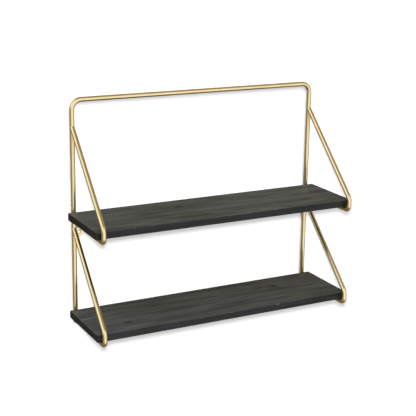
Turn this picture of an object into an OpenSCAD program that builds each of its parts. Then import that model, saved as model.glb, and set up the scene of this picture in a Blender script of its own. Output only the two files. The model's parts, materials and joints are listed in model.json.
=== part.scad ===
// Two-tier wall shelf: a bent back frame, four bent rod brackets and two stained boards.
// +Z is up and +Y points into the wall, whose face is the plane y = 0.
// The origin is midway between the screw holes of the two wall eyelets, on the wall.

/* [Boards] */
// Length of each board, side to side
board_w = 600; // [480:5:800]
// Depth of each board, back to front
board_d = 155; // [120:1:220]
// Thickness of each board
board_t = 15; // [12:0.5:22]
// Bevel along every edge of a board
board_bevel = 0.8; // [0.3:0.1:1.5]

/* [Rods] */
// Diameter of the rod that the frame and the brackets are bent from
rod_d = 10; // [8:0.5:12]
// Centreline radius of the frame's two top corners
frame_bend_r = 20; // [15:1:40]
// Centreline radius of a bracket's bend above the board's front edge
brace_bend_r = 20; // [12:1:30]
// Centreline radius of a bracket's bend below the board's front edge
nose_bend_r = 10; // [8:0.5:12]

/* [Frame] */
// From a board's end in to the axis of the upright
upright_inset = 15; // [12:0.5:40]
// From the underside of the upper brackets down to where the lower braces meet the uprights
tier_gap = 11; // [9:1:120]
// From where the upper braces meet the uprights up to the axis of the top bar
head_rise = 55; // [40:1:120]
// How far the uprights run on below the lower brackets
upright_tail = 2; // [1:0.5:10]

/* [Brackets] */
// Gap between the uprights and a board's back edge
back_gap = 1; // [0.5:0.5:4]
// Gap between a board's front edge and the bracket's nose
nose_gap = 6; // [5:0.5:10]
// From the top of a board up to the corner of its bracket's nose
nose_rise = 7; // [6:0.5:20]
// Angle that each bracket opens outward from its upright
splay = 1; // [0:0.25:2]

/* [Wall eyelets] */
// Outside diameter of an eyelet
eyelet_d = 20; // [18:0.5:26]
// Diameter of the screw hole in an eyelet
eyelet_hole_d = 8.5; // [5:0.5:10]
// Thickness of an eyelet
eyelet_t = 3; // [2:0.5:4]
// How far an eyelet's rim laps onto the side of the upright
eyelet_lap = 2.5; // [1.5:0.5:3.5]
// From the underside of the upper brackets down to an eyelet's centre
eyelet_drop = 20; // [16:1:60]

/* [Board fixings] */
// Length of a fixing tab along the bracket
tab_l = 18; // [14:1:30]
// Width of a fixing tab, inward from the bracket's axis
tab_w = 22; // [18:1:30]
// Thickness of a fixing tab
tab_t = 2; // [1.5:0.5:3]
// Radius of a fixing tab's free corners
tab_corner_r = 4; // [2:0.5:6]
// Outside diameter of a board screw's thread
screw_d = 3.5; // [3:0.5:4]
// Length of a board screw under its head
screw_l = 12; // [10:0.5:13]
// Diameter of a board screw's domed head
screw_head_d = 7; // [6:0.5:9]
// Width of the straight slot in a board screw's head
screw_slot_w = 1; // [0.6:0.1:1.4]
// Gap all round between a board screw and the hole in its tab
screw_gap = 0.5; // [0.2:0.1:1]
// Gap all round between a board screw and its hole in the wood
pilot_gap = 0.02; // [0:0.01:0.05]

/* [Welds] */
// Radius of a weld bead
weld_r = 1.6; // [1:0.1:2]
// Length of the short beads at the brackets' ends and the eyelets
bead_l = 6; // [4:0.5:7]

/* [Hidden] */
$fn = 64;
rod_r = rod_d / 2;
upright_pitch = board_w - 2 * upright_inset;
upright_x = upright_pitch / 2;
eyelet_x = upright_x - rod_r - eyelet_d / 2 + eyelet_lap;
// A board's edges, as distances forward of the uprights' axes
board_back = rod_r + back_gap;
board_front = board_back + board_d;
nose_reach = board_front + nose_gap + rod_r;
// Heights above the top of a bracket's own board; the braces rise at 45 degrees
seat_rod_z = -board_t - rod_r;
brace_rise = nose_rise + nose_reach;
// Heights of the two boards' top faces, and of the frame's top bar and feet
tier_pitch = brace_rise + tier_gap + rod_d + board_t;
upper_z = eyelet_drop + rod_d + board_t;
lower_z = upper_z - tier_pitch;
frame_top_z = upper_z + brace_rise + head_rise;
frame_foot_z = lower_z - board_t - rod_d - upright_tail;
// The rod swells this little where it is bent, and a straight run goes this far into a bend
bend_rod_d = rod_d + 0.04;
bend_lap = 0.4;
// A bracket's rod stops short of its upright's axis, inside the space the upright fills
rod_end = rod_r * 0.4;
// Fixing tabs sit midway along the boards' depth and start on the side of the bracket's rod
tab_y = board_back + board_d / 2;
tab_root = rod_r * 0.7;
screw_x = (tab_root + tab_w) / 2;
screw_head_h = screw_head_d * 0.3;
screw_tip_l = screw_d;
screw_slot_depth = screw_head_h * 0.45;
cut = 1;
LEFT = -1;
RIGHT = 1;
BRASS = "#cdb678";
STAIN = "#3f403c";
STEEL = "#b9b9b4";

function unit(v) = v / norm(v);
function heading(v) = atan2(v[1], v[0]);
// Angle that a path turns through at its point i
function turn(path, i) =
    let (before = unit(path[i] - path[i - 1]), after = unit(path[i + 1] - path[i]))
        atan2(cross(before, after), before * after);
// How far the bend at point i eats into the straight run on each side of it
function trim(path, radii, i) =
    i == 0 || i == len(path) - 1 ? 0 : radii[i] * tan(turn(path, i) / 2);

// The rest of a bent rod from its straight run i on. The run starts at the origin and goes
// along X, laps a little into the bends at its ends, and each bend turns left
module rod_from(path, radii, i) {
    straight = norm(path[i + 1] - path[i]) - trim(path, radii, i) - trim(path, radii, i + 1);
    lap_before = i == 0 ? 0 : bend_lap;
    lap_after = i == len(path) - 2 ? 0 : bend_lap;
    translate([-lap_before, 0, 0])
        rotate([0, 90, 0])
            cylinder(h = lap_before + straight + lap_after, d = rod_d);
    if (i < len(path) - 2) {
        bend = turn(path, i + 1);
        bend_r = radii[i + 1];
        translate([straight, bend_r, 0]) {
            rotate(-90)
                rotate_extrude(angle = bend)
                    translate([bend_r, 0])
                        circle(d = bend_rod_d);
            rotate(bend)
                translate([0, -bend_r, 0])
                    rod_from(path, radii, i + 1);
        }
    }
}

// A rod in the XY plane along a path that only turns left, its corners bent to radii
module bent_rod(path, radii) {
    translate(path[0])
        rotate(heading(path[1] - path[0]))
            rod_from(path, radii, 0);
}

// Turns a path's x forward, away from the wall, and its y up
module face_forward() {
    rotate([90, 0, -90]) children();
}

// A vertical cylinder where one upright runs, to trim what is welded to it
module upright_space(side) {
    translate([side * upright_x, -rod_r, frame_foot_z - cut])
        cylinder(h = frame_top_z - frame_foot_z + cut, d = rod_d);
}

// A bracket's own place: origin on its upright's axis, level with the top of its board,
// with -Y forward and +X towards the middle of the shelf
module at_bracket(side, board_z) {
    translate([side * upright_x, -rod_r, board_z])
        rotate(side * splay)
            mirror([side == RIGHT ? 1 : 0, 0, 0])
                children();
}

// Height of a brace's axis at a distance forward of its upright's axis
function brace_z(forward) = brace_rise - forward;

// The whole rod of one bracket, before its ends are trimmed to the upright
module bracket_rod() {
    face_forward()
        bent_rod(
            [[rod_end, seat_rod_z], [nose_reach, seat_rod_z],
             [nose_reach, nose_rise], [rod_end, brace_z(rod_end)]],
            [0, nose_bend_r, brace_bend_r, 0]
        );
}

module bracket(side, board_z) {
    color(BRASS)
        difference() {
            at_bracket(side, board_z) bracket_rod();
            upright_space(side);
        }
}

module back_frame() {
    color(BRASS)
        translate([0, -rod_r, 0])
            rotate([90, 0, 0])
                bent_rod(
                    [[upright_x, frame_foot_z], [upright_x, frame_top_z],
                     [-upright_x, frame_top_z], [-upright_x, frame_foot_z]],
                    [0, frame_bend_r, frame_bend_r, 0]
                );
}

// A rectangle centred on the origin with bevelled corners
module bevelled(w, h, bevel) {
    x = w / 2;
    y = h / 2;
    polygon([
        [bevel - x, -y], [x - bevel, -y], [x, bevel - y], [x, y - bevel],
        [x - bevel, y], [bevel - x, y], [-x, y - bevel], [-x, bevel - y]
    ]);
}

// A board centred on the origin, bevelled on all its edges
module board_blank() {
    intersection() {
        rotate([90, 0, 90])
            linear_extrude(board_w, center = true) bevelled(board_d, board_t, board_bevel);
        rotate([90, 0, 0])
            linear_extrude(board_d, center = true) bevelled(board_w, board_t, board_bevel);
        linear_extrude(board_t, center = true) bevelled(board_w, board_d, board_bevel);
    }
}

// The axis of one board screw: origin at the board's underside, +Z up into the wood
module at_screw(side, board_z) {
    at_bracket(side, board_z)
        translate([screw_x, -tab_y, -board_t])
            children();
}

// A screw's shank with its point; gap makes it the hole that the shank drives into
module screw_shank(gap = 0) {
    r = screw_d / 2 + gap;
    straight = screw_l - tab_t - screw_tip_l;
    translate([0, 0, -tab_t])
        cylinder(h = tab_t + straight, r = r);
    translate([0, 0, straight])
        cylinder(h = screw_tip_l, r1 = r, r2 = 0);
}

module board(board_z) {
    color(STAIN)
        difference() {
            translate([0, -rod_r - (board_back + board_front) / 2, board_z - board_t / 2])
                board_blank();
            for (side = [LEFT, RIGHT])
                at_screw(side, board_z) screw_shank(pilot_gap);
        }
}

module wall_eyelet(side) {
    color(BRASS)
        difference() {
            translate([side * eyelet_x, 0, 0])
                rotate([90, 0, 0])
                    difference() {
                        cylinder(h = eyelet_t, d = eyelet_d);
                        translate([0, 0, -cut]) cylinder(h = eyelet_t + 2 * cut, d = eyelet_hole_d);
                    }
            upright_space(side);
        }
}

// A tab's outline: square where it is welded to the bracket, round at its free corners
module tab_outline() {
    corner = [tab_w - tab_corner_r, tab_l / 2 - tab_corner_r];
    difference() {
        union() {
            translate([tab_root, -tab_l / 2]) square([corner[0] - tab_root, tab_l]);
            translate([tab_root, -corner[1]]) square([tab_w - tab_root, 2 * corner[1]]);
            for (end = [-1, 1])
                translate([corner[0], end * corner[1]]) circle(r = tab_corner_r);
        }
        translate([screw_x, 0]) circle(d = screw_d + 2 * screw_gap);
    }
}

module fixing_tab(side, board_z) {
    color(BRASS)
        difference() {
            at_bracket(side, board_z)
                translate([0, -tab_y, -board_t - tab_t])
                    linear_extrude(tab_t) tab_outline();
            at_bracket(side, board_z) bracket_rod();
        }
}

// A round-headed wood screw, driven up through its tab
module board_screw() {
    head_ball_r = (pow(screw_head_d / 2, 2) + pow(screw_head_h, 2)) / (2 * screw_head_h);
    screw_shank();
    translate([0, 0, -tab_t])
        difference() {
            intersection() {
                translate([0, 0, head_ball_r - screw_head_h]) sphere(r = head_ball_r);
                translate([0, 0, -screw_head_h]) cylinder(h = screw_head_h, d = screw_head_d);
            }
            translate([-screw_head_d / 2, -screw_slot_w / 2, -screw_head_h - cut])
                cube([screw_head_d, screw_slot_w, cut + screw_slot_depth]);
        }
}

module board_screws() {
    color(STEEL)
        for (side = [LEFT, RIGHT], board_z = [upper_z, lower_z])
            at_screw(side, board_z) board_screw();
}

// The weld beads in the corners below a bracket's two ends
module bracket_welds(side, board_z) {
    difference() {
        for (corner_z = [brace_z(rod_r) - rod_r * sqrt(2), seat_rod_z - rod_r])
            translate([side * upright_x, -rod_d, board_z + corner_z])
                rotate([0, 90, 0])
                    cylinder(h = bead_l, r = weld_r, center = true);
        upright_space(side);
        at_bracket(side, board_z) bracket_rod();
    }
}

// The weld under a tab, along the inner side of its bracket
module tab_weld(side, board_z) {
    difference() {
        at_bracket(side, board_z)
            translate([sqrt(pow(rod_r, 2) - pow(rod_r - tab_t, 2)), -tab_y, -board_t - tab_t])
                rotate([90, 0, 0])
                    cylinder(h = tab_l, r = weld_r, center = true);
        at_bracket(side, board_z) bracket_rod();
        at_bracket(side, board_z)
            translate([0, -tab_y - tab_l, -board_t - tab_t])
                cube([tab_w, 2 * tab_l, board_t]);
    }
}

// The weld in the corner between an upright and the face of its eyelet
module eyelet_weld(side) {
    difference() {
        translate([side * (upright_x - sqrt(pow(rod_r, 2) - pow(rod_r - eyelet_t, 2))), -eyelet_t, 0])
            cylinder(h = bead_l, r = weld_r, center = true);
        upright_space(side);
        wall_eyelet(side);
    }
}

module welds() {
    color(BRASS)
        for (side = [LEFT, RIGHT]) {
            eyelet_weld(side);
            for (board_z = [upper_z, lower_z]) {
                bracket_welds(side, board_z);
                tab_weld(side, board_z);
            }
        }
}

back_frame();
bracket(LEFT, upper_z);  // bracket_upper_left
bracket(RIGHT, upper_z);  // bracket_upper_right
bracket(LEFT, lower_z);  // bracket_lower_left
bracket(RIGHT, lower_z);  // bracket_lower_right
board(upper_z);  // board_upper
board(lower_z);  // board_lower
wall_eyelet(LEFT);  // wall_eyelet_left
wall_eyelet(RIGHT);  // wall_eyelet_right
fixing_tab(LEFT, upper_z);  // fixing_tab_upper_left
fixing_tab(RIGHT, upper_z);  // fixing_tab_upper_right
fixing_tab(LEFT, lower_z);  // fixing_tab_lower_left
fixing_tab(RIGHT, lower_z);  // fixing_tab_lower_right
board_screws();
welds();
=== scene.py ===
import json
import math

import bmesh
import bpy
from mathutils import Matrix, Vector

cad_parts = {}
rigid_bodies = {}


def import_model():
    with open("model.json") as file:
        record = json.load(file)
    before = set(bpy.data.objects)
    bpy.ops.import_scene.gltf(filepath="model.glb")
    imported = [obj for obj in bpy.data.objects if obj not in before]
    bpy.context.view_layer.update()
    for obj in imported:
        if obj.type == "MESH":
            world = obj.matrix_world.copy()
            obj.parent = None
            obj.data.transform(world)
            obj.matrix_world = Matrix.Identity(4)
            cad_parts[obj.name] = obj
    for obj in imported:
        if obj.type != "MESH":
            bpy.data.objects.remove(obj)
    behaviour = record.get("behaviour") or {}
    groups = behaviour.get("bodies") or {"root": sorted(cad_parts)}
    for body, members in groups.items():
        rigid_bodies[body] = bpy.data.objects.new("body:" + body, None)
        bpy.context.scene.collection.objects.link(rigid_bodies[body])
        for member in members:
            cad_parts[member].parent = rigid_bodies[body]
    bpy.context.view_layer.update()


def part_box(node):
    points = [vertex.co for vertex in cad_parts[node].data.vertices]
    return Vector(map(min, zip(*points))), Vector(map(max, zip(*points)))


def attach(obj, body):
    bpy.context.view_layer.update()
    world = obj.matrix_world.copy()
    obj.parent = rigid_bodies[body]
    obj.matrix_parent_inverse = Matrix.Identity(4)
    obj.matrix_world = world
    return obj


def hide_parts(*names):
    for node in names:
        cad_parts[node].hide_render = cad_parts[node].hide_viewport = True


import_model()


# ---------------------------------------------------------------- back frame
# One length of 10 mm steel rod, drawn, bent at its two top corners and brass plated. Its feet
# are cut square and filed. It carries everything else and stands against the wall.
class Wire:
    """An output socket of a node tree. Arithmetic on it adds Math nodes, and add() any other."""

    def __init__(self, tree, socket=None):
        self.tree = tree
        self.socket = socket

    def add(self, kind, settings={}, sockets={}, out=0):
        """A new node: its settings, then values or wires by socket name or number."""
        node = self.tree.nodes.new(kind)
        for name, value in settings.items():
            setattr(node, name, value)
        for name, value in sockets.items():
            socket = node.inputs[name] if isinstance(name, int) else next(
                s for s in node.inputs if s.enabled and name in (s.identifier, s.name))
            if isinstance(value, Wire):
                self.tree.links.new(value.socket, socket)
            else:
                socket.default_value = value
        if isinstance(out, int):
            out = [s for s in node.outputs if s.enabled][out].name if node.outputs else None
        return Wire(self.tree, out and next(s for s in node.outputs if s.enabled and s.name == out))

    def beside(self, name):
        """Another output of this wire's node."""
        return Wire(self.tree, self.socket.node.outputs[name])

    def math(self, operation, first, second=0.0):
        return self.add("ShaderNodeMath", {"operation": operation}, {0: first, 1: second})

    def __add__(self, other):
        return self.math("ADD", self, other)

    def __sub__(self, other):
        return self.math("SUBTRACT", self, other)

    def __rsub__(self, other):
        return self.math("SUBTRACT", other, self)

    def __mul__(self, other):
        return self.math("MULTIPLY", self, other)

    def __truediv__(self, other):
        return self.math("DIVIDE", self, other)

    def __pow__(self, other):
        return self.math("POWER", self, other)

    __radd__ = __add__
    __rmul__ = __mul__

    def spread(self, low, high, to_low=0.0, to_high=1.0):
        """This value eased from one range into another."""
        return self.add("ShaderNodeMapRange", {"interpolation_type": "SMOOTHSTEP"}, {
            "Value": self, "From Min": low, "From Max": high, "To Min": to_low, "To Max": to_high})

    def stretched(self, x, y, z):
        """This position scaled along each axis."""
        return self.add("ShaderNodeVectorMath", {"operation": "MULTIPLY"}, {0: self, 1: (x, y, z)})

    def noise(self, detail=2.0, roughness=0.5, distortion=0.0):
        return self.add("ShaderNodeTexNoise", {}, {
            "Vector": self, "Scale": 1.0, "Detail": detail, "Roughness": roughness,
            "Distortion": distortion})

    def tint(self, dark, light):
        """A colour between two, by this value."""
        return self.add("ShaderNodeMix", {"data_type": "RGBA"}, {
            "Factor": self, "A": dark, "B": light}, out="Result")


def baked(piece, tree=None, inputs={}):
    """Runs a node tool on a piece, or its modifiers, and keeps the result as its plain mesh."""
    if tree:
        tool = piece.modifiers.new(tree.name, "NODES")
        tool.node_group = tree
        for item in tree.interface.items_tree:
            if item.in_out == "INPUT" and item.name in inputs:
                tool[item.identifier] = inputs[item.name]
    depsgraph = bpy.context.evaluated_depsgraph_get()
    mesh = bpy.data.meshes.new_from_object(
        piece.evaluated_get(depsgraph), preserve_all_data_layers=True, depsgraph=depsgraph)
    piece.modifiers.clear()
    piece.data = mesh
    return piece


def linked(name, mesh):
    piece = bpy.data.objects.new(name, mesh)
    bpy.context.scene.collection.objects.link(piece)
    return piece


def node_tool(name, **inputs):
    """A geometry tree with named inputs: (tree, wires of the inputs by name)."""
    tree = bpy.data.node_groups.new(name, "GeometryNodeTree")
    tree.interface.new_socket("Geometry", in_out="INPUT", socket_type="NodeSocketGeometry")
    tree.interface.new_socket("Geometry", in_out="OUTPUT", socket_type="NodeSocketGeometry")
    for label, kind in inputs.items():
        tree.interface.new_socket(label.replace("_", " "), in_out="INPUT", socket_type="NodeSocket" + kind)
    entry = tree.nodes.new("NodeGroupInput")
    return tree, {s.name: Wire(tree, s) for s in entry.outputs if s.name}


def finish_tool(start, geometry, material):
    """Realizes what a geometry tree made, gives it its material and ends the tree."""
    real = start.add("GeometryNodeRealizeInstances", {}, {"Geometry": geometry})
    coated = start.add("GeometryNodeSetMaterial", {}, {"Geometry": real, "Material": material})
    start.add("NodeGroupOutput", {}, {"Geometry": coated})


def attribute(start, name, kind="FLOAT"):
    return start.add("GeometryNodeInputNamedAttribute", {"data_type": kind}, {"Name": name})


def stored(start, geometry, name, value, kind="FLOAT"):
    return start.add("GeometryNodeStoreNamedAttribute", {"data_type": kind, "domain": "POINT"}, {
        "Geometry": geometry, "Name": name, "Value": value})


# Sweeps a round rod along a chain of points whose "bend" gives each corner's radius and whose
# "girth" thins the rod at a filed end. "drawn" is each point's place in the straight rod before
# it was bent. The ends can be cupped to sit on an upright, level or rising at 45 degrees.
rod_tree, sized = node_tool(
    "bent_rod", Rod_radius="Float", Bend_steps="Int", Sides="Int", Cup_radius="Float", Finish="Material")
start = Wire(rod_tree)
chain = start.add("GeometryNodeMeshToCurve", {}, {"Mesh": sized["Geometry"]})
bent = start.add("GeometryNodeFilletCurve", {"mode": "POLY"}, {
    "Curve": chain, "Count": sized["Bend steps"], "Radius": attribute(start, "bend"), "Limit Radius": True})
along = start.add("GeometryNodeSplineParameter", out="Length")
level_end = start.add("GeometryNodeCurveEndpointSelection", {}, {"Start Size": 1, "End Size": 0})
rising_end = start.add("GeometryNodeCurveEndpointSelection", {}, {"Start Size": 0, "End Size": 1})
marked = stored(start, bent, "along", along)
marked = stored(start, marked, "level_end", level_end)
marked = stored(start, marked, "rising_end", rising_end)
ring = start.add("GeometryNodeCurvePrimitiveCircle", {"mode": "RADIUS"}, {
    "Resolution": sized["Sides"], "Radius": sized["Rod radius"]})
place = start.add("GeometryNodeInputPosition")
ring = stored(start, ring, "across", place, "FLOAT_VECTOR")
swept = start.add("GeometryNodeCurveToMesh", {}, {
    "Curve": marked, "Profile Curve": ring, "Scale": attribute(start, "girth"), "Fill Caps": True})
across = start.add("ShaderNodeSeparateXYZ", {}, {"Vector": attribute(start, "across", "FLOAT_VECTOR")})
unbent = start.add("ShaderNodeCombineXYZ", {}, {
    "X": across, "Y": across.beside("Y"), "Z": attribute(start, "along")})
swept = stored(start, swept, "drawn", unbent, "FLOAT_VECTOR")
side = start.add("ShaderNodeSeparateXYZ", {}, {"Vector": start.add("GeometryNodeInputPosition")})
back = side.beside("Y")
on_cup = start.math("SQRT", start.math("MAXIMUM", sized["Cup radius"] ** 2.0 - side ** 2.0, 0.0))
slide = (back + on_cup) * -1.0
at_an_end = start.math("MAXIMUM", attribute(start, "level_end"), attribute(start, "rising_end"))
cupped = start.add("ShaderNodeCombineXYZ", {}, {
    "X": 0.0, "Y": slide * at_an_end, "Z": slide * attribute(start, "rising_end")})
has_cup = start.add("FunctionNodeCompare", {"data_type": "FLOAT", "operation": "GREATER_THAN"}, {
    "A": sized["Cup radius"], "B": 0.0})
swept = start.add("GeometryNodeSetPosition", {}, {"Geometry": swept, "Selection": has_cup, "Offset": cupped})
swept = start.add("GeometryNodeSetShadeSmooth", {}, {"Geometry": swept, "Shade Smooth": True})
finish_tool(start, swept, sized["Finish"])


def brass_plate(name, lines):
    """Satin brass plate: pale gold with a faint cloudiness, over steel that shows its lines."""
    finish = bpy.data.materials.new(name)
    finish.use_nodes = True
    finish.node_tree.nodes.clear()
    start = Wire(finish.node_tree)
    here = start.add("ShaderNodeTexCoord", out="Object")
    if lines == "drawn":
        straight = start.add("ShaderNodeAttribute", {"attribute_name": "drawn"}, out="Vector")
        lay = straight.stretched(900, 900, 14)
    else:
        lay = here.stretched(260, 260, 260)
    streaks = lay.noise(detail=3.0, roughness=0.6)
    cloud = here.stretched(22, 22, 22).noise(detail=3.0, roughness=0.55)
    grains = here.stretched(1500, 1500, 1500).noise(detail=1.0)
    colour = (cloud * 0.7 + streaks * 0.3).spread(0.3, 0.7).tint(
        (0.81, 0.665, 0.345, 1), (0.87, 0.74, 0.43, 1))
    rough = (cloud - 0.5) * 0.06 + (streaks - 0.5) * 0.10 + 0.15
    bump = start.add("ShaderNodeBump", {}, {
        "Strength": 0.12, "Distance": 0.00012, "Height": streaks * 0.8 + grains * 0.2})
    coat = start.add("ShaderNodeBsdfPrincipled", {}, {
        "Base Color": colour, "Metallic": 1.0, "Roughness": rough, "Normal": bump})
    start.add("ShaderNodeOutputMaterial", {}, {"Surface": coat})
    return finish


def rod(name, points, bends, girths, cup_radius=0.0):
    """A piece of bent rod through these points."""
    mesh = bpy.data.meshes.new(name)
    mesh.from_pydata(points, [(n, n + 1) for n in range(len(points) - 1)], [])
    mesh.attributes.new("bend", "FLOAT", "POINT").data.foreach_set("value", bends)
    mesh.attributes.new("girth", "FLOAT", "POINT").data.foreach_set("value", girths)
    piece = baked(linked(name, mesh), rod_tree, {
        "Rod radius": rod_radius, "Bend steps": 14, "Sides": 40, "Cup radius": cup_radius,
        "Finish": drawn_brass})
    piece.data.set_sharp_from_angle(angle=smooth_up_to)
    return piece


rod_radius = 0.005
corner_bend = 0.020
filed = 0.0008
filed_girth = 0.84
smooth_up_to = math.radians(30)
drawn_brass = brass_plate("satin_brass_drawn", "drawn")
low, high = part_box("back_frame")
upright_x = high.x - rod_radius
bar_z = high.z - rod_radius
foot_z = low.z
frame_rod = rod(
    "frame_rod",
    [(side * x, -rod_radius, z) for side, x, z in (
        (-1, upright_x, foot_z), (-1, upright_x, foot_z + filed), (-1, upright_x, bar_z),
        (1, upright_x, bar_z), (1, upright_x, foot_z + filed), (1, upright_x, foot_z))],
    [0, 0, corner_bend, corner_bend, 0, 0], [filed_girth, 1, 1, 1, 1, filed_girth])
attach(frame_rod, "root")
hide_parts("back_frame")


# ---------------------------------------------------------------- brackets
# Four lengths of the same rod. Each runs forward under its board, turns up round a tight nose
# in front of it and goes back at 45 degrees to the upright, where both ends are coped and
# welded. Each is splayed outward by one degree.
nose_bend = 0.010
brace_bend = 0.020
nose_reach = 0.172
nose_rise = 0.007
splay = math.radians(1)


def bracket_place(side, board_top):
    """From a bracket's own frame, on its upright's axis with +X inward, to the shelf's."""
    return (Matrix.Translation((side * upright_x, -rod_radius, board_top))
            @ Matrix.Rotation(side * splay, 4, "Z") @ Matrix.Diagonal((-side, 1, 1, 1)))


tiers = {tier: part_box(f"board_{tier}") for tier in ("upper", "lower")}
board_thick = tiers["upper"][1].z - tiers["upper"][0].z
seat = -board_thick - rod_radius
for tier, (_, board_high) in tiers.items():
    for side, hand in ((-1, "left"), (1, "right")):
        bracket = rod(
            f"bracket_rod_{tier}_{hand}",
            [(0, 0, seat), (0, -nose_reach, seat), (0, -nose_reach, nose_rise),
             (0, 0, nose_rise + nose_reach)],
            [0, nose_bend, brace_bend, 0], [1, 1, 1, 1], cup_radius=rod_radius)
        bracket.data.transform(bracket_place(side, board_high.z))
        if side > 0:
            bracket.data.flip_normals()
        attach(bracket, "root")
        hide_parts(f"bracket_{tier}_{hand}")


# ---------------------------------------------------------------- boards
# Two planks of planed softwood, 600 x 155 x 15 mm, their edges eased, stained black so that the
# grain still shows. Pale wood grins through where the eased edges have been knocked.
edge_ease = 0.0008
cross_cuts = 24


def stained_pine(name, low, high, pith, knots):
    """Black stain over pine: rings about the pith line, fibres along X, and a few knots, with painted shade
    on the upright faces.
    """
    finish = bpy.data.materials.new(name)
    finish.use_nodes = True
    finish.node_tree.nodes.clear()
    start = Wire(finish.node_tree)
    here = start.add("ShaderNodeTexCoord", out="Object")
    x = start.add("ShaderNodeSeparateXYZ", {}, {"Vector": here})
    y, z = x.beside("Y"), x.beside("Z")
    sway = here.stretched(2.2, 7, 7).noise(detail=2.0)
    ripple = here.stretched(9, 40, 40).noise(detail=2.0)
    push = 0.0
    eyes = 0.0
    for knot_x, knot_y, size in knots:
        reach = ((x - knot_x) * 0.5) ** 2.0 + (y - knot_y) ** 2.0
        push = start.math("EXPONENT", reach / (-size * size)) + push
        core = start.math("SQRT", reach).spread(size * 0.18, size * 0.42, 1.0, 0.0)
        eyes = start.math("MAXIMUM", core, eyes)
    out = start.math("SQRT", (y - pith[0]) ** 2.0 + (z - pith[1]) ** 2.0)
    out = out + (sway - 0.5) * 0.030 + (ripple - 0.5) * 0.0022 + push * 0.006
    rings = start.math("FRACT", out / 0.0052)
    late = rings.spread(0.35, 0.9) - rings.spread(0.93, 1.0)
    fibre = here.stretched(16, 620, 620).noise(detail=4.0, roughness=0.6)
    fleck = here.stretched(60, 1500, 1500).noise(detail=2.0)
    smear = here.stretched(5, 34, 60).noise(detail=3.0, roughness=0.6)
    facing = start.add("ShaderNodeSeparateXYZ", {}, {"Vector": start.add("ShaderNodeTexCoord", out="Normal")})
    end_grain = start.math("ABSOLUTE", facing).spread(0.6, 0.9)
    # Painted shade: the front, back and end faces are made darker than the top, more so towards +X, in the
    # grain below and again by a multiply.
    painted_side_shade = 1 - start.math("ABSOLUTE", facing.beside("Z")).spread(0.3, 0.8)
    streak = here.stretched(9, 150, 150).noise(detail=3.0, roughness=0.65)
    show = (late * 0.14 + (fibre - 0.5) * 0.8 + (smear - 0.5) * 0.8 + (streak - 0.5) * 1.1 + 0.42
            - eyes * 0.4 - end_grain * 0.2 - painted_side_shade * x.spread(-0.1, 0.3) * 0.22)
    top = 1 - (high.z - z).spread(0.0004, 0.0026)
    front = 1 - (y - low.y).spread(0.0002, 0.0012)
    chips = here.stretched(70, 300, 300).noise(detail=3.0, roughness=0.7).spread(0.64, 0.70)
    worn = top * front * chips
    colour = show.spread(0.0, 1.0).tint((0.022, 0.0245, 0.0245, 1), (0.119, 0.135, 0.135, 1))
    # Painted shade: this multiply darkens the front, back and end faces to about a fifth of the top's colour.
    colour = start.add("ShaderNodeMix", {"data_type": "RGBA", "blend_type": "MULTIPLY"}, {
        "Factor": painted_side_shade, "A": colour, "B": (0.20, 0.20, 0.195, 1)}, out="Result")
    colour = start.add("ShaderNodeMix", {"data_type": "RGBA"}, {
        "Factor": worn * 0.8, "A": colour, "B": (0.36, 0.31, 0.24, 1)}, out="Result")
    rough = 0.56 - late * 0.08 + (fibre - 0.5) * 0.2 + end_grain * 0.15
    bump = start.add("ShaderNodeBump", {}, {
        "Strength": 0.5, "Distance": 0.0003, "Height": late * 0.35 + fibre * 0.5 + fleck * 0.15})
    wood = start.add("ShaderNodeBsdfPrincipled", {}, {
        "Base Color": colour, "Roughness": rough, "Normal": bump, "Specular IOR Level": 0.35})
    start.add("ShaderNodeOutputMaterial", {}, {"Surface": wood})
    return finish


grain_of = {
    "upper": {"pith": (-0.150, -0.020), "knots": [(0.215, -0.120, 0.020), (-0.070, -0.060, 0.016)]},
    "lower": {"pith": (-0.050, -0.255), "knots": [(0.170, -0.060, 0.022), (-0.215, -0.125, 0.015)]},
}
for tier, (board_low, board_high) in tiers.items():
    board_mesh = bmesh.new()
    bmesh.ops.create_cube(board_mesh, size=1.0, matrix=Matrix.Translation(
        (board_low + board_high) / 2) @ Matrix.Diagonal([*(board_high - board_low), 1]))
    bmesh.ops.bevel(board_mesh, geom=board_mesh.edges[:], offset=edge_ease, segments=3, profile=0.6,
                    affect="EDGES")
    for n in range(1, cross_cuts):
        everything = board_mesh.verts[:] + board_mesh.edges[:] + board_mesh.faces[:]
        cut_x = board_low.x + n * (board_high.x - board_low.x) / cross_cuts
        bmesh.ops.bisect_plane(board_mesh, geom=everything, plane_co=(cut_x, 0, 0), plane_no=(1, 0, 0))
    mesh = bpy.data.meshes.new(f"board_{tier}")
    board_mesh.to_mesh(mesh)
    board_mesh.free()
    for face in mesh.polygons:
        face.use_smooth = face.area < board_thick * edge_ease
    board = linked(f"plank_{tier}", mesh)
    mesh.materials.append(stained_pine(
        f"black_stained_pine_{tier}", board_low, board_high, **grain_of[tier]))
    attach(board, "root")
    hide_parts(f"board_{tier}")


# ---------------------------------------------------------------- wall eyelets
# Two washers pressed from 3 mm steel, flat against the wall on the inner side of each upright,
# which they lap into. They are welded on and plated with the frame, and take the wall screws.
def pressed_plate(name, hole, outline, thick, ease=0.00035):
    """A plate rising from the XY plane between a hole and an outline, with eased edges."""
    section = []
    for inner, outer in zip(hole, outline):
        inner, outer = Vector(inner), Vector(outer)
        step = (outer - inner).normalized() * ease
        section.append([(*spot, height) for spot, height in (
            (inner, ease), (inner + step, 0), (outer - step, 0), (outer, ease),
            (outer, thick - ease), (outer - step, thick), (inner + step, thick), (inner, thick - ease))])
    count = len(section)
    mesh = bpy.data.meshes.new(name)
    mesh.from_pydata(
        [spot for loop in section for spot in loop], [],
        [(n * 8 + k, (n + 1) % count * 8 + k, (n + 1) % count * 8 + (k + 1) % 8, n * 8 + (k + 1) % 8)
         for n in range(count) for k in range(8)])
    mesh.shade_smooth()
    mesh.set_sharp_from_angle(angle=smooth_up_to)
    return linked(name, mesh)


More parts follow.
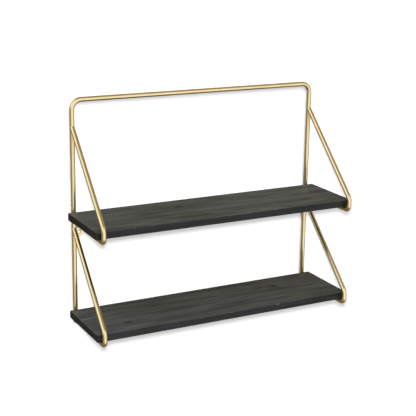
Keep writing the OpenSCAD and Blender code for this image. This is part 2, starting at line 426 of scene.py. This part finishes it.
def finished(piece, node, finish=None):
    """Turns a piece's faces outwards, gives it its finish and lets it stand for its node."""
    skin = bmesh.new()
    skin.from_mesh(piece.data)
    bmesh.ops.recalc_face_normals(skin, faces=skin.faces)
    skin.to_mesh(piece.data)
    skin.free()
    if finish:
        piece.data.materials.append(finish)
    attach(piece, "root")
    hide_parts(node)


pressed_brass = brass_plate("satin_brass_pressed", "pressed")
eyelet_thick = 0.003
hole_radius = 0.00425
round_the_hole = [Vector((math.cos(n * math.pi / 36), math.sin(n * math.pi / 36))) for n in range(72)]
for hand in ("left", "right"):
    low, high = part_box(f"wall_eyelet_{hand}")
    washer = pressed_plate(
        f"eyelet_washer_{hand}", [way * hole_radius for way in round_the_hole],
        [way * (high.z - low.z) / 2 for way in round_the_hole], eyelet_thick)
    middle = (low + high) / 2
    washer.data.transform(
        Matrix.Translation((middle.x, 0, middle.z)) @ Matrix.Rotation(math.pi / 2, 4, "X"))
    finished(washer, f"wall_eyelet_{hand}", pressed_brass)


# ---------------------------------------------------------------- fixing tabs
# Four tabs of 2 mm steel under the boards, square where they are welded to a bracket and round
# at their free corners, with a hole for one board screw.
tab_thick = 0.002
tab_half = 0.009
tab_root, tab_reach, tab_corner = 0.0035, 0.022, 0.004
tab_forward = 0.0835
screw_in = (tab_root + tab_reach) / 2
screw_hole = 0.00225
outline_step = 0.0012
corner_place = Vector((tab_reach - tab_corner, tab_half - tab_corner))
corners = [Vector((tab_root, -tab_half)), Vector((tab_root, tab_half))]
corners += [corner_place + Vector((math.sin(turn), math.cos(turn))) * tab_corner
            for turn in (n * math.pi / 20 for n in range(11))]
corners += [Vector((x, -y)) for x, y in corners[:1:-1]]
outline = []
for here, after in zip(corners, corners[1:] + corners[:1]):
    pieces = max(1, round((after - here).length / outline_step))
    outline += [here.lerp(after, n / pieces) for n in range(pieces)]
hole_place = Vector((screw_in, 0))
hole = [hole_place + (spot - hole_place).normalized() * screw_hole for spot in outline]
for tier, (_, board_high) in tiers.items():
    for side, hand in ((-1, "left"), (1, "right")):
        tab = pressed_plate(f"screw_tab_{tier}_{hand}", hole, outline, tab_thick)
        tab.data.transform(bracket_place(side, board_high.z) @ Matrix.Translation(
            (0, -tab_forward, -board_thick - tab_thick)))
        finished(tab, f"fixing_tab_{tier}_{hand}", pressed_brass)


# ---------------------------------------------------------------- board screws
# Four slotted round-head wood screws, 3.5 x 12 mm, zinc plated steel, driven up through the
# tabs into the boards.
def zinc_plate():
    """Bright zinc over steel: cool grey, with turning marks round the head and a faint haze."""
    finish = bpy.data.materials.new("zinc_plated_steel")
    finish.use_nodes = True
    finish.node_tree.nodes.clear()
    start = Wire(finish.node_tree)
    here = start.add("ShaderNodeTexCoord", out="Object")
    haze = here.stretched(420, 420, 420).noise(detail=3.0, roughness=0.6)
    turning = here.stretched(300, 300, 5200).noise(detail=2.0)
    colour = haze.spread(0.3, 0.7).tint((0.52, 0.54, 0.56, 1), (0.70, 0.71, 0.71, 1))
    bump = start.add("ShaderNodeBump", {}, {"Strength": 0.2, "Distance": 0.0001, "Height": turning})
    coat = start.add("ShaderNodeBsdfPrincipled", {}, {
        "Base Color": colour, "Metallic": 1.0, "Roughness": haze * 0.2 + 0.2, "Normal": bump})
    start.add("ShaderNodeOutputMaterial", {}, {"Surface": coat})
    return finish


shank_radius, head_radius, head_rise = 0.00175, 0.0035, 0.0021
screw_top = 0.010
tip_length = 0.0035
thread_pitch, thread_depth, thread_start = 0.0013, 0.00035, 0.0006
slot_wide, slot_deep = 0.001, 0.00095
head_steps, shank_steps, around = 12, 96, 28

# Each step of the lathe is a radius, a height and whether the thread is cut there.
ball = (head_radius ** 2 + head_rise ** 2) / (2 * head_rise)
rim_angle = math.asin(head_radius / ball)
lathe = [(ball * math.sin(n / head_steps * rim_angle),
          -tab_thick - head_rise + ball - ball * math.cos(n / head_steps * rim_angle), 0)
         for n in range(1, head_steps + 1)]
lathe.append((shank_radius, -tab_thick, 0))
for n in range(1, shank_steps):
    height = -tab_thick + n * (screw_top + tab_thick) / shank_steps
    narrowing = min(1, (screw_top - height) / tip_length)
    lathe.append((shank_radius * narrowing, height, 1 if height > thread_start else 0))
rings = []
for radius, height, threaded in lathe:
    for n in range(around):
        lift = abs((height / thread_pitch - n / around) % 1 - 0.5) * 2
        cut = threaded * thread_depth * lift * min(1, radius / shank_radius)
        rings.append(((radius - cut) * math.cos(math.tau * n / around),
                      (radius - cut) * math.sin(math.tau * n / around), height))
count = len(lathe)
skin = [(k * around + n, k * around + (n + 1) % around,
         (k + 1) * around + (n + 1) % around, (k + 1) * around + n)
        for k in range(count - 1) for n in range(around)]
rings += [(0, 0, -tab_thick - head_rise), (0, 0, screw_top)]
skin += [(count * around, (n + 1) % around, n) for n in range(around)]
skin += [(count * around + 1, (count - 1) * around + n, (count - 1) * around + (n + 1) % around)
         for n in range(around)]
mesh = bpy.data.meshes.new("screw_blank")
mesh.from_pydata(rings, [], skin)
screw = linked("screw_blank", mesh)
slot_mesh = bmesh.new()
bmesh.ops.create_cube(slot_mesh, size=1.0, matrix=Matrix.Translation(
    (0, 0, -tab_thick - head_rise)) @ Matrix.Diagonal((0.01, slot_wide, 2 * slot_deep, 1)))
mesh = bpy.data.meshes.new("slot_cutter")
slot_mesh.to_mesh(mesh)
slot_mesh.free()
cutter = linked("slot_cutter", mesh)
slotting = screw.modifiers.new("slotting", "BOOLEAN")
slotting.operation, slotting.solver, slotting.object = "DIFFERENCE", "EXACT", cutter
baked(screw)
bpy.data.objects.remove(cutter)
screw.data.shade_smooth()
screw.data.set_sharp_from_angle(angle=math.radians(42))

driven_tree, sized = node_tool("driven_screws", Screw="Object", Seed="Int", Finish="Material")
start = Wire(driven_tree)
one = start.add("GeometryNodeObjectInfo", {"transform_space": "ORIGINAL"}, {
    "Object": sized["Screw"]}, out="Geometry")
stopped_at = start.add("FunctionNodeRandomValue", {"data_type": "FLOAT"}, {
    "Min": 0.0, "Max": math.pi, "Seed": sized["Seed"]})
turned = start.add("ShaderNodeCombineXYZ", {}, {"Z": stopped_at})
driven = start.add("GeometryNodeInstanceOnPoints", {}, {
    "Points": sized["Geometry"], "Instance": one, "Rotation": turned})
finish_tool(start, driven, sized["Finish"])
screw_places = [bracket_place(side, board_high.z) @ Vector((screw_in, -tab_forward, -board_thick))
                for _, board_high in tiers.values() for side in (-1, 1)]
mesh = bpy.data.meshes.new("driven_screws")
mesh.from_pydata(screw_places, [], [])
driven_screws = baked(linked("driven_screws", mesh), driven_tree, {
    "Screw": screw, "Seed": 7, "Finish": zinc_plate()})
bpy.data.objects.remove(screw)
finished(driven_screws, "board_screws")


# ---------------------------------------------------------------- welds
# Short rippled beads of weld under both ends of each bracket, along each tab and beside each
# eyelet, dressed and plated over with the frame.
weld_tree, sized = node_tool(
    "weld_bead", Bead_radius="Float", Ripple="Float", Seed="Int", Finish="Material")
start = Wire(weld_tree)
run = start.add("GeometryNodeMeshToCurve", {}, {"Mesh": sized["Geometry"]})
drops = start.add("GeometryNodeCurveToPoints", {"mode": "LENGTH"}, {"Curve": run, "Length": sized["Ripple"]})
lying = drops.beside("Rotation")
drop = start.add("GeometryNodeMeshUVSphere", {}, {
    "Segments": 18, "Rings": 10, "Radius": sized["Bead radius"]})
size = start.add("FunctionNodeRandomValue", {"data_type": "FLOAT_VECTOR"}, {
    "Min": (0.86, 0.86, 0.62), "Max": (1.0, 1.0, 0.78), "Seed": sized["Seed"]})
beads = start.add("GeometryNodeInstanceOnPoints", {}, {
    "Points": drops, "Instance": drop, "Rotation": lying, "Scale": size})
beads = start.add("GeometryNodeRealizeInstances", {}, {"Geometry": beads})
lumps = start.add("GeometryNodeInputPosition").stretched(900, 900, 900).noise(detail=1.0)
outward = start.add("ShaderNodeVectorMath", {"operation": "SCALE"}, {
    0: start.add("GeometryNodeInputNormal"), "Scale": (lumps - 0.65) * sized["Bead radius"] * 0.3})
beads = start.add("GeometryNodeSetPosition", {}, {"Geometry": beads, "Offset": outward})
beads = start.add("GeometryNodeSetShadeSmooth", {}, {"Geometry": beads, "Shade Smooth": True})
finish_tool(start, beads, sized["Finish"])

bead_radius = 0.0016
bead_half = 0.0019
eyelet_side = math.sqrt(rod_radius ** 2 - (rod_radius - eyelet_thick) ** 2)
tab_side = math.sqrt(rod_radius ** 2 - (rod_radius - tab_thick) ** 2)
under_brace = nose_rise + nose_reach - rod_radius * (1 + math.sqrt(2))
under_seat = -board_thick - 2 * rod_radius
runs = []
for side in (-1, 1):
    runs.append([(side * (upright_x - eyelet_side), -eyelet_thick, z) for z in (-bead_half, bead_half)])
    for _, board_high in tiers.values():
        for z in (under_brace, under_seat):
            runs.append([(side * upright_x + x, -2 * rod_radius, board_high.z + z)
                         for x in (-bead_half, bead_half)])
        to_shelf = bracket_place(side, board_high.z)
        runs.append([to_shelf @ Vector((tab_side, -tab_forward + y, -board_thick - tab_thick))
                     for y in (-tab_half + bead_radius, tab_half - bead_radius)])
mesh = bpy.data.meshes.new("weld_beads")
mesh.from_pydata(
    [end for run in runs for end in run], [(2 * n, 2 * n + 1) for n in range(len(runs))], [])
weld_beads = baked(linked("weld_beads", mesh), weld_tree, {
    "Bead radius": bead_radius, "Ripple": 0.0009, "Seed": 3, "Finish": pressed_brass})
finished(weld_beads, "welds")


# ---------------------------------------------------------------- studio
# A white wall card and a pale floor card, seen only by the camera, in a warm grey room with a
# bright front and upper left and one soft lamp above. Two more lamps shine only on the wall and
# draw its soft shadows: of the frame that touches it, and of what stands out from it.
def card(name, corners, own_light, paint_white):
    """A sheet painted white that also glows a little, and is clear from behind."""
    mesh = bpy.data.meshes.new(name)
    mesh.from_pydata(corners, [], [(0, 1, 2, 3)])
    piece = linked(name, mesh)
    paint = bpy.data.materials.new(name)
    paint.use_nodes = True
    paint.node_tree.nodes.clear()
    start = Wire(paint.node_tree)
    glow = start.add("ShaderNodeEmission", {}, {"Color": (1, 1, 1, 1), "Strength": own_light})
    matt = start.add("ShaderNodeBsdfDiffuse", {}, {"Color": (paint_white, paint_white, paint_white, 1)})
    lit = start.add("ShaderNodeAddShader", {}, {0: glow, 1: matt})
    clear = start.add("ShaderNodeBsdfTransparent")
    behind = start.add("ShaderNodeNewGeometry", out="Backfacing")
    seen = start.add("ShaderNodeMixShader", {}, {0: behind, 1: lit, 2: clear})
    start.add("ShaderNodeOutputMaterial", {}, {"Surface": seen})
    mesh.materials.append(paint)
    for ray in ("diffuse", "glossy", "transmission", "volume_scatter", "shadow"):
        setattr(piece, "visible_" + ray, False)
    return piece


wall_gap = 0.0006
floor_z = -0.75
upright_card = [(x, wall_gap, z) for x, z in ((-6, floor_z), (6, floor_z), (6, 5), (-6, 5))]
lying_card = [(x, y, floor_z) for x, y in ((-40, -40), (40, -40), (40, 40), (-40, 40))]
wall = card("wall", upright_card, own_light=0.03, paint_white=0.1)
card("floor", lying_card, own_light=0.8, paint_white=0.1)

world = bpy.data.worlds.new("studio")
bpy.context.scene.world = world
world.use_nodes = True
world.node_tree.nodes.clear()
room = Wire(world.node_tree)
way = room.add("ShaderNodeTexCoord", out="Generated")


def towards(direction, low, high):
    """How far the way out lies towards a direction, eased between two cosines."""
    return room.add("ShaderNodeVectorMath", {"operation": "DOT_PRODUCT"}, {
        0: way, 1: Vector(direction).normalized()}, out="Value").spread(low, high)


bright = room.math("MAXIMUM", towards((0, -1, 0), 0.4, 0.85), towards((-0.8, -0.05, 0.6), 0.66, 0.9))
below = towards((0, 0, -1), 0.35, 0.75)
behind = towards((0, 1, 0), 0.45, 0.9)
glow = (0.38 + bright * 0.78) * (1 - below * 0.4) * (1 - behind * 0.5)
tone = bright.tint((1, 0.80, 0.49, 1), (0.965, 0.985, 1.07, 1))
lit_room = room.add("ShaderNodeBackground", {}, {"Color": tone, "Strength": glow})
backdrop = room.add("ShaderNodeBackground", {}, {"Color": (1, 1, 1, 1), "Strength": 1.0})
room.add("ShaderNodeOutputWorld", {}, {"Surface": room.add("ShaderNodeMixShader", {}, {
    0: room.add("ShaderNodeLightPath", out="Is Camera Ray"), 1: lit_room, 2: backdrop})})


def lamp(name, kind, place, aim, size, power):
    """A lamp at a place, turned to its aim."""
    light = bpy.data.lights.new(name, kind)
    light.energy = power
    if kind == "SUN":
        light.angle = size
    else:
        light.shape, light.size = "DISK", size
    piece = bpy.data.objects.new(name, light)
    bpy.context.scene.collection.objects.link(piece)
    piece.location = place
    piece.rotation_euler = (Vector(place) - Vector(aim)).to_track_quat("Z", "Y").to_euler()
    piece.visible_glossy = False
    return piece


def draws_shadows_of(piece, casters):
    """Makes a lamp light only the wall, with the shadows of these pieces alone."""
    lit, casting = (bpy.data.collections.new(piece.name + end) for end in ("_lights", "_casters"))
    lit.objects.link(wall)
    for caster in casters:
        casting.objects.link(caster)
    piece.light_linking.receiver_collection = lit
    piece.light_linking.blocker_collection = casting


lamp("top_lamp", "AREA", (-0.9, -1.6, 2.6), aim=(0, -0.05, 0.04), size=1.6, power=40)
frame_lamp = lamp("frame_shadow_lamp", "SUN", (0.1, -1.0, 1.15), aim=(0, 0, 0), size=0.85, power=24)
against_wall = [piece for piece in bpy.data.objects if piece.name.startswith(("frame_rod", "eyelet_washer"))]
draws_shadows_of(frame_lamp, against_wall)
shelf_lamp = lamp(
    "shelf_shadow_lamp", "AREA", (-1.0264, -1.9968, 0.755), aim=(0, 0, 0.04), size=0.15, power=1)
standing_out = [piece for piece in bpy.data.objects if piece.name.startswith(("bracket_rod", "plank"))]
shelf_lamp.data.use_nodes = True
even = Wire(shelf_lamp.data.node_tree)
strength = even.add("ShaderNodeLightFalloff", {}, {"Strength": 64.0}, out="Constant")
even.tree.links.new(strength.socket, even.tree.nodes["Emission"].inputs["Strength"])
draws_shadows_of(shelf_lamp, standing_out)


# ---------------------------------------------------------------- camera
# A long lens a little over two metres off, to the front left of the shelf and above it. It looks
# down at about sixteen degrees and leans by about one.
camera = bpy.data.objects.new("camera", bpy.data.cameras.new("camera"))
bpy.context.scene.collection.objects.link(camera)
bpy.context.scene.camera = camera
yaw, pitch, roll = math.radians(27.954), math.radians(15.615), math.radians(0.930)
camera.location = (-1.0264, -1.9968, 0.6463)
camera.rotation_euler = (Matrix.Rotation(-yaw, 4, "Z") @ Matrix.Rotation(math.pi / 2 - pitch, 4, "X")
                         @ Matrix.Rotation(roll, 4, "Z")).to_euler()
camera.data.sensor_width = 36
camera.data.lens = 91.3
camera.data.clip_start, camera.data.clip_end = 0.05, 200
bpy.context.scene.view_settings.view_transform = "Standard"
